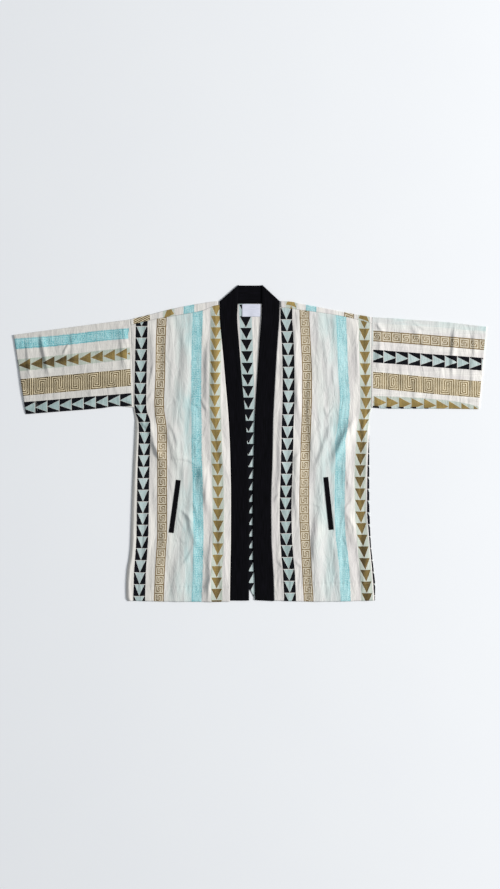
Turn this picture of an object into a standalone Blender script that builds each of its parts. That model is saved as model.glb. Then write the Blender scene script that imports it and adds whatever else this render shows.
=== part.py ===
"""An open-front kimono jacket of printed cotton, lying face up and flat, as its cut and sewn pieces.

The frame: +X runs to the right sleeve, +Y up to the collar, +Z away from the surface it lies on.
The origin is on the back's underside, at the middle of the body. Left and right are as the viewer sees them.
All tables and sizes are in millimetres.
"""

import bmesh
import bpy
import numpy as np
from mathutils import Vector

MM = 0.001

# Walls and the clearances between them
CLOTH = 1.2
BAND = 2.0
SEAM_GAP = 0.45
ARMHOLE_GAP = 0.9
CORNER_GAP = 3.0
LAY_GAP = 0.5

# Heights of the middle of a wall: on the table, folded over it, and resting on the layer below
LOW = CLOTH / 2
FOLD_RADIUS = 1.4
HIGH = LOW + 2 * FOLD_RADIUS
RESTING = LOW + CLOTH + LAY_GAP

# The neckband: doubled under at the shoulder, and lying on the back farther down
BAND_LOW = BAND / 2
BAND_FOLD_RADIUS = 1.35
BAND_HIGH = BAND_LOW + 2 * BAND_FOLD_RADIUS
BAND_RESTING = CLOTH + LAY_GAP + BAND / 2
BAND_TOP = 429.0
NECKLINE = 380.0
NECK_LEFT = -81.0
NECK_RIGHT = 78.5
BAND_END = -421.0
BAND_END_SLANT = 3.0

# Shares of a front edge: where the neckband leaves the table, is up, and starts to turn to its slanted fold
BAND_RISES = 0.80
BAND_IS_UP = 0.98
BAND_TURNS = 0.94

# The share of the neck's width over which its sewn edge drops from a slanted fold to the neckline
NECK_BEND = 0.34

# How far an edge holds the cloth down before a ridge rises to its full height
EDGE_FADE = 16.0
HEM_FADE = 40.0

# The share of a ridge's length over which it fades in, and out again
RIDGE_FADE = 0.25

# The fronts come down from the shoulder and armhole seams, and from the neckband's, over these widths
SEAM_SLOPE = 40.0
BAND_SLOPE = 20.0
BAND_LIFT = 0.35

# The sleeves leave the body above this height, and their upper layer comes down to the underarm edge
ARMHOLE_FOOT = 97.0
UNDERARM_SLOPE = 24.0
SLEEVE_LENGTH = 320.0

# Heights from which the search for a hem or a shoulder line starts
HEM_GUESS = -424.0
SHOULDER_GUESS = 350.0

WELT_WIDTH = 13.0
WELT_THICK = 1.2
REST_GAP = 0.35
LABEL_WIDTH = 50.0
LABEL_HEIGHT = 34.0
LABEL_THICK = 1.0
LABEL_MIDDLE = 3.5
LABEL_TOP = 378.0


def table(columns, *rows):
    """Rows of numbers as a dictionary with one array for each named column."""
    return dict(zip(columns.split(), np.array(rows, float).T))


def smooth(t):
    """0 to 1 with level ends: three t squared less two t cubed."""
    t = np.clip(t, 0.0, 1.0)
    return t * t * (3.0 - 2.0 * t)


def curve(at, places, values):
    """A smooth curve through a table's values, as cubic Hermite pieces.

    The slope at each place is the harmonic mean of the chords beside it, or level at a turn,
    so nothing overshoots.
    """
    chords = np.diff(values) / np.diff(places)
    pairs = chords[:-1] * chords[1:]
    inner = np.divide(2.0 * pairs, chords[:-1] + chords[1:], out=np.zeros(len(pairs)), where=pairs > 0.0)
    slopes = np.concatenate([chords[:1], inner, chords[-1:]])
    i = int(np.clip(np.searchsorted(places, at) - 1, 0, len(places) - 2))
    width = places[i + 1] - places[i]
    t = np.clip((at - places[i]) / width, 0.0, 1.0)
    rise = values[i] + (values[i + 1] - values[i]) * smooth(t)
    lean = slopes[i] * t * (1.0 - t) ** 2 - slopes[i + 1] * t * t * (1.0 - t)
    return rise + lean * width


def crossing(heights, places, column, y):
    """The height where a slightly slanted column, x = column(y), meets a line, found in four steps."""
    for _ in range(4):
        y = curve(column(y), places, heights)
    return y


# The outline of the body: its two side edges, from the hem up to the shoulder
SIDES = table(
    "height left right",
    (-424, -322.0, 337.0),
    (-381, -322.5, 338.0),
    (-340, -321.5, 334.0),
    (-305, -317.5, 330.0),
    (-270, -314.0, 326.5),
    (-205, -312.0, 323.5),
    (-150, -311.0, 322.0),
    (-50, -308.0, 322.0),
    (40, -305.5, 321.0),
    (62, -305.2, 320.5),
    (78, -307.5, 321.8),
    (97, -314.0, 326.4),
    (225, -318.4, 327.2),
    (340, -323.0, 328.0),
)

# The two front edges of the neckband: outer is sewn to the front, inner is free
OPENING = table(
    "height left_outer left_inner right_inner right_outer",
    (-424, -54.0, -2.7, 13.5, 64.8),
    (-367, -53.2, -2.7, 12.2, 63.5),
    (-313, -52.4, -2.2, 8.3, 60.5),
    (-259, -51.3, -1.6, 6.8, 57.5),
    (-151, -51.0, -1.9, 6.8, 56.7),
    (-43, -52.7, -5.4, 9.5, 60.0),
    (65, -57.2, -11.3, 12.4, 62.1),
    (173, -66.2, -21.6, 18.9, 67.5),
    (281, -75.6, -30.2, 25.9, 73.7),
    (335, -80.2, -34.6, 30.5, 77.8),
    (380, -82.6, -36.2, 33.8, 79.9),
)

# The shoulder fold, and the shoulder seam in front of it, where the back's wrapped strip meets the front
SHOULDER = table(
    "x fold seam",
    (-323, 337.0, 322.5),
    (-270, 350.2, 335.6),
    (-202, 367.2, 347.8),
    (-135, 379.9, 360.0),
    (-84, 386.4, 376.2),
    (80, 387.0, 370.6),
    (108, 385.3, 366.6),
    (135, 379.9, 363.2),
    (216, 364.5, 352.0),
    (270, 353.7, 341.6),
    (328, 343.2, 326.4),
)

# The hem of the fronts, and the back's hem under them, which rises into the gap of the opening
HEM = table(
    "x front back",
    (-322, -421.5, -419.0),
    (-200, -424.0, -419.0),
    (-90, -424.5, -408.0),
    (-3, -423.0, -391.0),
    (14, -418.0, -415.5),
    (65, -421.0, -419.0),
    (190, -424.0, -420.0),
    (337, -421.0, -419.0),
)

# The sleeves at five stations from the armhole to the cuff: the folded top edge and the underarm edge
LEFT_SLEEVE = table(
    "station top_x top_y low_x low_y",
    (0.00, -323.3, 337.0, -316.0, 100.0),
    (0.15, -370.0, 331.0, -358.0, 103.5),
    (0.32, -424.0, 324.0, -409.0, 97.0),
    (0.60, -512.0, 312.2, -488.0, 91.0),
    (1.00, -637.7, 295.4, -604.8, 82.0),
)
RIGHT_SLEEVE = table(
    "station top_x top_y low_x low_y",
    (0.00, 328.4, 343.2, 327.2, 100.0),
    (0.15, 374.0, 341.0, 371.0, 97.0),
    (0.32, 428.0, 337.0, 421.0, 96.8),
    (0.60, 515.0, 331.0, 503.0, 97.0),
    (1.00, 639.4, 317.5, 619.1, 95.6),
)

# The ends of the slanted folds, at the sewn edge and the free edge. side is -1 for left and 1 for right.
NECK_CORNERS = table(
    "side sewn_x sewn_y free_x free_y",
    (-1, -81.6, 383.8, -29.7, BAND_TOP),
    (1, 79.4, 384.6, 31.9, BAND_TOP),
)

# The middle of each pocket welt's top and foot
WELTS = table(
    "side top_x top_y foot_x foot_y",
    (-1, -193.1, -96.0, -212.5, -238.0),
    (1, 204.5, -88.0, 219.4, -230.0),
)

# The largest folds of the fronts and of the sleeves' upper layers: a soft ridge from one point to another
RIDGES = table(
    "x0 y0 x1 y1 width height",
    (-96, 320, -92, 20, 13, 4.2),
    (-92, 60, -66, -90, 10, 3.4),
    (-262, 330, -258, 150, 9, 2.4),
    (-278, 80, -240, -52, 9, 4.0),
    (-228, 60, -186, -80, 12, 3.4),
    (-168, 300, -176, 90, 11, 2.4),
    (-132, -40, -112, -200, 10, 4.0),
    (-176, -170, -136, -290, 10, 3.0),
    (-106, -250, -110, -424, 10, 4.2),
    (-272, -150, -284, -400, 10, 2.6),
    (-196, -300, -204, -424, 13, 2.4),
    (-82, -180, -76, -400, 9, 2.4),
    (122, 350, 128, 60, 9, 3.4),
    (204, 310, 212, 120, 14, 2.8),
    (262, 90, 196, -60, 13, 4.6),
    (288, 330, 292, 150, 10, 2.6),
    (282, 70, 250, -60, 9, 3.2),
    (88, 120, 74, -190, 9, 2.8),
    (128, 20, 120, -230, 9, 2.8),
    (246, -140, 288, -290, 10, 3.2),
    (176, -150, 184, -424, 12, 3.0),
    (282, -200, 306, -400, 10, 2.4),
    (232, -260, 244, -424, 12, 3.0),
    (88, -290, 96, -424, 10, 2.4),
    (-566, 300, -546, 180, 7, 3.0),
    (-602, 290, -592, 120, 7, 2.0),
    (-474, 312, -478, 200, 8, 2.0),
    (-352, 326, -336, 190, 9, 2.8),
    (-430, 230, -426, 100, 10, 1.8),
    (552, 322, 540, 180, 7, 3.0),
    (603, 316, 597, 130, 7, 2.0),
    (352, 326, 346, 190, 9, 2.4),
    (430, 330, 476, 260, 9, 2.2),
    (452, 190, 446, 104, 10, 1.8),
)


def relief(x, y):
    """How far the folds lift the cloth: a bell across each ridge's line, fading in and out along it."""
    start = np.array([RIDGES["x0"], RIDGES["y0"]])
    run = np.array([RIDGES["x1"], RIDGES["y1"]]) - start
    length = np.hypot(*run)
    offset = np.array([[x], [y]]) - start
    along = (offset * run).sum(0) / length**2
    aside = (offset[0] * run[1] - offset[1] * run[0]) / length / RIDGES["width"]
    fade_in = smooth(along / RIDGE_FADE)
    ends = fade_in * smooth((1.0 - along) / RIDGE_FADE)
    past_hem = fade_in * (RIDGES["y1"] <= HEM["front"].max())
    bell = np.exp(-aside * aside) * np.maximum(ends, past_hem)
    return float((RIDGES["height"] * bell).sum())


class Front:
    """One front: its two long edges and its surface."""

    def __init__(self, side):
        self.side = side
        self.away = -1.0 if side == "left" else 1.0

    def side_edge(self, y):
        return curve(y, SIDES["height"], SIDES[self.side])

    def band_edge(self, y):
        outer = curve(y, OPENING["height"], OPENING[self.side + "_outer"])
        return outer + self.away * SEAM_GAP

    def height(self, x, y):
        """The middle of the wall, which rests on the back and is lifted by its folds and at its seams."""
        to_side = abs(self.side_edge(y) - x)
        to_band = abs(x - self.band_edge(y))
        to_seam = curve(x, SHOULDER["x"], SHOULDER["seam"]) - y
        to_hem = y - curve(x, HEM["x"], HEM["front"])
        free = smooth(to_side / EDGE_FADE) * smooth(to_band / EDGE_FADE) * smooth(to_seam / EDGE_FADE)
        free *= 0.55 + 0.45 * smooth(to_hem / HEM_FADE)
        armhole = smooth((y - ARMHOLE_FOOT) / UNDERARM_SLOPE) * smooth(1.0 - to_side / SEAM_SLOPE)
        shoulder = smooth(1.0 - to_seam / SEAM_SLOPE)
        band = BAND_LIFT * smooth(1.0 - to_band / BAND_SLOPE)
        lift = (HIGH - RESTING) * max(armhole, shoulder, band)
        return RESTING + lift + free * relief(x, y)

    def across(self, share, y):
        """The x at a share of the way from the side seam, 0, to the neckband, 1."""
        return self.side_edge(y) + share * (self.band_edge(y) - self.side_edge(y))

    def point(self, share, up):
        """share runs from the side seam to the neckband; up runs from the hem, 0, to the shoulder seam, 1."""

        def column(y):
            return self.across(share, y)

        bottom = crossing(HEM["front"], HEM["x"], column, HEM_GUESS)
        top = crossing(SHOULDER["seam"], SHOULDER["x"], column, SHOULDER_GUESS)
        y = bottom + up * (top - SEAM_GAP / 2 - bottom)
        x = self.across(share, y)
        return x, y, self.height(x, y)


def sheet(name, place, columns, rows, thick, material, left_out=None):
    """A grid whose points place(i, j) sets, made a wall of even thickness.

    Squares for which left_out(i, j) is true are dropped.
    """
    grid = bmesh.new()
    bmesh.ops.create_grid(grid, x_segments=columns, y_segments=rows, size=0.5)

    def spot(vert):
        return round((vert.co.x + 0.5) * columns), round((vert.co.y + 0.5) * rows)

    if left_out:
        cut = [face for face in grid.faces if left_out(*min(spot(vert) for vert in face.verts))]
        bmesh.ops.delete(grid, geom=cut, context="FACES")
    for vert in grid.verts:
        vert.co = Vector(place(*spot(vert))) * MM
    mesh = bpy.data.meshes.new(name)
    grid.to_mesh(mesh)
    grid.free()
    mesh.shade_smooth()
    piece = bpy.data.objects.new(name, mesh)
    garment.objects.link(piece)
    wall = piece.modifiers.new("wall", "SOLIDIFY")
    wall.thickness = thick * MM
    wall.offset = 0.0
    wall.use_even_offset = True
    piece.data.materials.append(material)
    return piece


def finish(name, colour, roughness):
    """A dyed cotton with its base colour and roughness."""
    material = bpy.data.materials.new(name)
    material.use_nodes = True
    shader = material.node_tree.nodes["Principled BSDF"]
    shader.inputs["Base Color"].default_value = (*colour, 1.0)
    shader.inputs["Roughness"].default_value = roughness
    shader.inputs["Metallic"].default_value = 0.0
    return material


def build_front(side):
    """A front panel, close-set columns and rows so that its folds show."""
    front = Front(side)
    columns, rows = 18, 30

    def place(i, j):
        return front.point(i / columns, j / rows)

    return sheet("front_" + side, place, columns, rows, CLOTH, printed)


def build_back():
    """The back lies on the table, and past the shoulder folds it wraps over to the shoulder seams."""
    left, right = Front("left"), Front("right")
    shoulder_columns, neck_columns = 18, 6
    panel_rows, fold_rows = 10, 5
    columns = 2 * shoulder_columns + neck_columns
    rows = panel_rows + fold_rows + 1
    neck = range(shoulder_columns, shoulder_columns + neck_columns)

    def place(i, j):
        """Rows run from the hem to the fold, round its half circle, and back down to the shoulder seam."""
        front = left if i <= shoulder_columns else right
        share = min(i, columns - i) / shoulder_columns
        corner = front.band_edge(NECKLINE) + front.away * CORNER_GAP
        in_neck = shoulder_columns < i < neck.stop

        def column(y):
            if in_neck:
                return NECK_LEFT + (i - neck.start - 1) / (neck_columns - 2) * (NECK_RIGHT - NECK_LEFT)
            return front.side_edge(y) + share * (corner - front.side_edge(y))

        hem = crossing(HEM["back"], HEM["x"], column, HEM_GUESS)
        fold = crossing(SHOULDER["fold"], SHOULDER["x"], column, SHOULDER_GUESS) - FOLD_RADIUS
        top = NECKLINE - SEAM_GAP if in_neck else fold
        turn = np.clip((j - panel_rows) / fold_rows, 0.0, 1.0) * np.pi
        y = hem + min(j / panel_rows, 1.0) * (top - hem) + FOLD_RADIUS * np.sin(turn)
        if j == rows:
            y = crossing(SHOULDER["seam"], SHOULDER["x"], column, SHOULDER_GUESS) + SEAM_GAP / 2
        return column(y), y, LOW + FOLD_RADIUS * (1.0 - np.cos(turn))

    def left_out(i, j):
        return i in neck and j >= panel_rows

    return sheet("back", place, columns, rows, CLOTH, printed, left_out)


def build_sleeve(side, edges):
    """One piece folded along the top of the arm, its two edges meeting along the underarm.

    Around it runs the under layer, from the underarm to the fold, the fold's half circle and the upper layer.
    """
    under, turn, over, along = 6, 5, 11, 14
    sign = -1.0 if side == "left" else 1.0

    def place(i, j):
        station = j / along
        top = Vector([curve(station, edges["station"], edges[k]) for k in ("top_x", "top_y")])
        low = Vector([curve(station, edges["station"], edges[k]) for k in ("low_x", "low_y")])
        top.y -= FOLD_RADIUS
        share = i / under if i <= under else 1.0 - max(i - under - turn, 0) / over
        x, y = low.lerp(top, share)
        seam = curve(y, SIDES["height"], SIDES[side]) + sign * ARMHOLE_GAP
        x += (seam - x) * (1.0 - smooth(2.0 * station))
        if i <= under:
            return x, y, LOW
        angle = min((i - under) / turn, 1.0) * np.pi
        z = LOW + FOLD_RADIUS * (1.0 - np.cos(angle))
        y += FOLD_RADIUS * np.sin(angle)
        if i > under + turn:
            width = (top - low).length
            edge = smooth(share * width / UNDERARM_SLOPE)
            free = edge * smooth((1.0 - share) * width / EDGE_FADE)
            free *= smooth(station * SLEEVE_LENGTH / EDGE_FADE)
            z = RESTING + (HIGH - RESTING) * edge + free * relief(x, y)
        return x, y, z

    return sheet("sleeve_" + side, place, under + turn + over, along, CLOTH, printed)


def build_neckband():
    """A doubled strip: up one front edge, folded under at the shoulder, across the neck and down again.

    Each row lies from the sewn edge to the free edge. The slanted folds turn it over by half a circle.
    """
    front_rows, fold_rows, neck_rows, columns = 22, 6, 6, 3
    corners = {}
    for k, side in enumerate(("left", "right")):
        sewn_top = Vector((NECK_CORNERS["sewn_x"][k], NECK_CORNERS["sewn_y"][k]))
        free_top = Vector((NECK_CORNERS["free_x"][k], NECK_CORNERS["free_y"][k]))
        corners[side] = (sewn_top, free_top)

    def front_row(side, share):
        """share runs from the hem, 0, to the slanted fold, 1. The strip turns and rises near the fold."""
        sewn_top, free_top = corners[side]
        y = BAND_END + share * (NECKLINE - BAND_END)
        outer = curve(y, OPENING["height"], OPENING[side + "_outer"])
        inner = curve(y, OPENING["height"], OPENING[side + "_inner"])
        hem = 0.0 if side == "left" else BAND_END_SLANT * (1.0 - share)
        sewn = Vector((outer, y - hem / 2))
        free = Vector((inner, y + hem / 2))
        turned = smooth((share - BAND_TURNS) / (1.0 - BAND_TURNS))
        rise = smooth((share - BAND_RISES) / (BAND_IS_UP - BAND_RISES))
        z = BAND_RESTING + (BAND_HIGH - BAND_RESTING) * rise
        return sewn.lerp(sewn_top, turned), free.lerp(free_top, turned), z

    def fold_row(side, share):
        """share runs from the upper layer, 0, round to the lower layer, 1."""
        sewn_top, free_top = corners[side]
        slant = (free_top - sewn_top).normalized()
        out = Vector((-slant.y, slant.x)) if side == "left" else Vector((slant.y, -slant.x))
        turn = share * np.pi
        push = out * BAND_FOLD_RADIUS * np.sin(turn)
        return sewn_top + push, free_top + push, BAND_LOW + BAND_FOLD_RADIUS * (1.0 + np.cos(turn))

    def neck_row(share):
        """share runs along the back of the neck from the left fold, 0, to the right fold, 1."""
        bend = 1.0 - smooth(min(share, 1.0 - share) / NECK_BEND)
        side = "left" if share < 0.5 else "right"
        sewn_x = corners["left"][0].x + share * (corners["right"][0].x - corners["left"][0].x)
        free_x = corners["left"][1].x + share * (corners["right"][1].x - corners["left"][1].x)
        sewn_y = NECKLINE + bend * (corners[side][0].y - NECKLINE)
        return Vector((sewn_x, sewn_y)), Vector((free_x, BAND_TOP)), BAND_LOW

    lines = [front_row("left", k / front_rows) for k in range(front_rows + 1)]
    lines += [fold_row("left", k / fold_rows) for k in range(1, fold_rows + 1)]
    lines += [neck_row(k / neck_rows) for k in range(1, neck_rows)]
    lines += [fold_row("right", 1.0 - k / fold_rows) for k in range(fold_rows)]
    lines += [front_row("right", 1.0 - k / front_rows) for k in range(front_rows + 1)]

    def place(i, j):
        sewn, free, z = lines[j]
        x, y = sewn.lerp(free, i / columns)
        return x, y, z

    return sheet("neckband", place, columns, len(lines) - 1, BAND, black)


def build_welt(side, row):
    """A slanted pocket welt, made from the front's own points and moved out to lie on it."""
    front = Front(side)
    columns, rows = 2, 10
    top = Vector((WELTS["top_x"][row], WELTS["top_y"][row]))
    foot = Vector((WELTS["foot_x"][row], WELTS["foot_y"][row]))
    across = (top - foot).normalized().orthogonal() * WELT_WIDTH
    lift = (CLOTH + WELT_THICK) / 2 + REST_GAP

    def place(i, j):
        x, y = foot.lerp(top, j / rows) + across * (i / columns - 0.5)
        return x, y, front.height(x, y) + lift

    return sheet("welt_" + side, place, columns, rows, WELT_THICK, black)


def build_label():
    """The bare cloth label under the back of the neckband."""
    columns, rows = 2, 2

    def place(i, j):
        x = LABEL_MIDDLE + (i / columns - 0.5) * LABEL_WIDTH
        y = LABEL_TOP - (1.0 - j / rows) * LABEL_HEIGHT
        return x, y, CLOTH + REST_GAP + LABEL_THICK / 2

    return sheet("label", place, columns, rows, LABEL_THICK, white)


for old in list(bpy.data.objects):
    bpy.data.objects.remove(old)
garment = bpy.data.collections.new("kimono")
bpy.context.scene.collection.children.link(garment)

printed = finish("printed_cotton", (0.80, 0.78, 0.74), 0.85)
black = finish("black_cotton", (0.012, 0.012, 0.015), 0.8)
white = finish("label_satin", (0.78, 0.77, 0.84), 0.6)

build_back()
build_front("left")
build_front("right")
build_sleeve("left", LEFT_SLEEVE)
build_sleeve("right", RIGHT_SLEEVE)
build_neckband()
build_welt("left", 0)
build_welt("right", 1)
build_label()
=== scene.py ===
"""The printed cotton kimono jacket, laid flat and face up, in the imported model's frame.

+X runs to the sleeve at the viewer's right, +Y to the collar and +Z up. Tables and sizes are in millimetres.
Left and right are as the viewer sees them. Every panel is a surface worked out on a grid, lying on its
solid's form, with two UV maps: "print" places the printed stripes, in millimetres, and "cloth" follows the
threads.
"""

import bpy
import numpy as np
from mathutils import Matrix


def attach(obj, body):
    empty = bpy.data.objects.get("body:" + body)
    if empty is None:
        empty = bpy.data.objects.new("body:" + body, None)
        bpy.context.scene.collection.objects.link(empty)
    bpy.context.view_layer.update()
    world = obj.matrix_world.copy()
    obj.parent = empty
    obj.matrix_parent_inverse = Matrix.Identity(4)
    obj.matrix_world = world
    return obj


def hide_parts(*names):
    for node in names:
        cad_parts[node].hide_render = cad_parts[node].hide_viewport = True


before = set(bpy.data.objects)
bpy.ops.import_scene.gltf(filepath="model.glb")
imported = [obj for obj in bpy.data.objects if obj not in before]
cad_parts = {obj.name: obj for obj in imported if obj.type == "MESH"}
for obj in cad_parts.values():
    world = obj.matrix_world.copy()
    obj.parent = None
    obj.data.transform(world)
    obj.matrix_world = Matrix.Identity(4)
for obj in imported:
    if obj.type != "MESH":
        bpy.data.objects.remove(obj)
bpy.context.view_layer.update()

MM = 0.001
# What a pixel of the photograph stands for
PIXEL = 2.7

# Walls and heights, as the solids have them
CLOTH = 1.2
SEAM_GAP = 0.3
LAY_GAP = 0.5
LOW = CLOTH / 2
FOLD_RADIUS = 1.4
HIGH = LOW + 2 * FOLD_RADIUS
RESTING = LOW + CLOTH + LAY_GAP
BAND = 2.0
BAND_LOW = BAND / 2
BAND_FOLD_RADIUS = 1.35
BAND_HIGH = BAND_LOW + 2 * BAND_FOLD_RADIUS
BAND_RESTING = CLOTH + LAY_GAP + BAND / 2
BAND_WIDTH = 50.0
BAND_FOOT = -421.0
BAND_TOP = 429.0
NECKLINE = 380.0
NECK_LEFT = -81.0
NECK_RIGHT = 78.5
CORNER_GAP = 3.0

# About where the hem and the shoulder are, from which their lines are looked for
HEM_NEAR = -424.0
SHOULDER_NEAR = 350.0

# The armhole's lower end, and how wide the folds fade out beside a seam and a hem
ARMPIT = 97.0
EDGE_FADE = 16.0
HEM_FADE = 40.0

# The real cloth is thinner than the solids' walls
SHELL = 0.8
BAND_SHELL = 1.5
LABEL_SHELL = 0.35

HEM_DEPTH = {"left": 38.0, "right": 48.0}
WELT_LENGTH = 142.0
WELT_WIDTH = 13.0
LABEL_WIDTH = 50.0
LABEL_HEIGHT = 34.0
LABEL_MIDDLE = 3.5

# How high the left side seam is rolled up
SEAM_ROLL = 2.6

# Sewing thread, and how far each stitch is from the next
THREAD = 0.4
STITCH = 3.2
CUFF_DEPTH = 35.5
SLEEVE_LENGTH = 320.0


def table(columns, *rows):
    """Rows of numbers as a dictionary with one array for each named column."""
    return dict(zip(columns.split(), np.array(rows, float).T))


def smooth(t):
    """0 to 1 with level ends: three t squared less two t cubed."""
    t = np.clip(t, 0.0, 1.0)
    return t * t * (3.0 - 2.0 * t)


def curve(at, lines, column):
    """A smooth curve through one column of a table, as cubic Hermite pieces. The first column has the places.

    The slope at each place is the harmonic mean of the chords beside it, or level at a turn, so that nothing
    overshoots.
    """
    places, values = next(iter(lines.values())), lines[column]
    at = np.asarray(at, float)
    chords = np.diff(values) / np.diff(places)
    pairs = chords[:-1] * chords[1:]
    inner = np.divide(2.0 * pairs, chords[:-1] + chords[1:], out=np.zeros(len(pairs)), where=pairs > 0.0)
    slopes = np.concatenate([chords[:1], inner, chords[-1:]])
    i = np.clip(np.searchsorted(places, at) - 1, 0, len(places) - 2)
    width = places[i + 1] - places[i]
    t = np.clip((at - places[i]) / width, 0.0, 1.0)
    rise = values[i] + (values[i + 1] - values[i]) * smooth(t)
    tilt = slopes[i] * t * (1.0 - t) ** 2 - slopes[i + 1] * t * t * (1.0 - t)
    return rise + tilt * width


def crossing(lines, line, x_at, y):
    """The height at which each slanted column, x = x_at(y), meets a line, found by going back and forth."""
    for _ in range(4):
        y = curve(x_at(y), lines, line)
    return y


# The outline of the body: its two side edges, from the hem up to the shoulder. The left one has the rolled
# seam that shows there as a shaded strip, 5 to 11 mm outside the solids' edge
SIDES = table(
    "height left right",
    (-424, -329.0, 337.0),
    (-410, -333.6, 337.5),
    (-381, -333.6, 338.0),
    (-340, -331.4, 334.0),
    (-305, -325.6, 330.0),
    (-270, -322.2, 326.5),
    (-205, -320.0, 323.5),
    (-150, -318.4, 322.0),
    (-50, -314.2, 322.0),
    (40, -310.0, 321.0),
    (62, -309.4, 320.5),
    (78, -311.0, 321.8),
    (97, -314.0, 326.4),
    (225, -318.4, 327.2),
    (340, -323.0, 328.0),
)

# The two front edges of the neckband: outer is sewn to the front, inner is free
OPENING = table(
    "height left_outer left_inner right_inner right_outer",
    (-424, -54.0, -2.7, 13.5, 64.8),
    (-367, -53.2, -2.7, 12.2, 63.5),
    (-313, -52.4, -2.2, 8.3, 60.5),
    (-259, -51.3, -1.6, 6.8, 57.5),
    (-151, -51.0, -1.9, 6.8, 56.7),
    (-43, -52.7, -5.4, 9.5, 60.0),
    (65, -57.2, -11.3, 12.4, 62.1),
    (173, -66.2, -21.6, 18.9, 67.5),
    (281, -75.6, -30.2, 25.9, 73.7),
    (335, -80.2, -34.6, 30.5, 77.8),
    (380, -82.6, -36.2, 33.8, 79.9),
)

# The shoulder fold, and the shoulder seam in front of it, where the back's wrapped strip meets the front
SHOULDER = table(
    "x fold seam",
    (-323, 337.0, 322.5),
    (-270, 350.2, 335.6),
    (-202, 367.2, 347.8),
    (-135, 379.9, 360.0),
    (-84, 386.4, 376.2),
    (80, 387.0, 370.6),
    (108, 385.3, 366.6),
    (135, 379.9, 363.2),
    (216, 364.5, 352.0),
    (270, 353.7, 341.6),
    (328, 343.2, 326.4),
)

# The hem of the fronts, and the back's hem under them, which rises into the gap of the opening
HEM = table(
    "x front back",
    (-322, -421.5, -419.0),
    (-200, -424.0, -419.0),
    (-90, -424.5, -408.0),
    (-3, -423.0, -391.0),
    (14, -418.0, -415.5),
    (65, -421.0, -419.0),
    (190, -424.0, -420.0),
    (337, -421.0, -419.0),
)

# The sleeves at five stations from the armhole to the cuff: the folded top edge and the underarm edge
SLEEVES = {
    "left": table(
        "station top_x top_y low_x low_y",
        (0.00, -323.3, 337.0, -316.0, 100.0),
        (0.15, -370.0, 331.0, -358.0, 103.5),
        (0.32, -424.0, 324.0, -409.0, 97.0),
        (0.60, -512.0, 312.2, -488.0, 91.0),
        (1.00, -637.7, 295.4, -604.8, 82.0),
    ),
    "right": table(
        "station top_x top_y low_x low_y",
        (0.00, 328.4, 343.2, 327.2, 100.0),
        (0.15, 374.0, 341.0, 371.0, 97.0),
        (0.32, 428.0, 337.0, 421.0, 96.8),
        (0.60, 515.0, 331.0, 503.0, 97.0),
        (1.00, 639.4, 317.5, 619.1, 95.6),
    ),
}

# The largest folds, about where the solids have them: each is a soft ridge from one point to another
RIDGES = table(
    "x0 y0 x1 y1 bow width height",
    (-96, 320, -92, 20, 0, 13, 4.2),
    (-92, 60, -66, -90, 0, 10, 3.4),
    (-262, 330, -258, 150, 0, 9, 2.4),
    (-278, 80, -240, -52, 0, 9, 4.0),
    (-228, 60, -186, -80, 0, 12, 3.4),
    (-168, 300, -176, 90, 0, 11, 2.4),
    (-132, -40, -112, -200, 0, 10, 4.0),
    (-176, -170, -136, -290, 0, 10, 3.0),
    (-106, -250, -110, -424, 0, 10, 4.2),
    (-272, -150, -284, -400, 0, 10, 2.6),
    (-196, -300, -204, -424, 0, 13, 2.4),
    (-82, -180, -76, -400, 0, 9, 2.4),
    (122, 350, 128, 60, 0, 9, 3.4),
    (204, 310, 212, 120, 0, 14, 2.8),
    (284, 92, 210, -66, 0, 13, 4.0),
    (288, 330, 292, 150, 0, 10, 2.6),
    (282, 70, 250, -60, 0, 9, 1.2),
    (88, 120, 74, -190, 0, 9, 2.8),
    (128, 20, 120, -230, 0, 9, 2.8),
    (246, -140, 288, -290, 0, 10, 2.2),
    (176, -150, 184, -424, 0, 12, 3.0),
    (282, -200, 306, -400, 0, 10, 1.9),
    (232, -260, 244, -424, 0, 12, 3.0),
    (88, -290, 96, -424, 0, 10, 2.4),
    (-566, 300, -546, 180, 0, 7, 3.0),
    (-602, 290, -592, 120, 0, 7, 2.0),
    (-474, 312, -478, 200, 0, 8, 2.0),
    (-352, 326, -336, 190, 0, 9, 2.8),
    (-430, 230, -426, 100, 0, 10, 1.8),
    (552, 322, 540, 180, 0, 7, 3.0),
    (603, 316, 597, 130, 0, 7, 2.0),
    (352, 326, 346, 190, 0, 9, 2.4),
    (430, 330, 476, 260, 0, 9, 2.2),
    (452, 190, 446, 104, 0, 10, 1.8),
)

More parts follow.
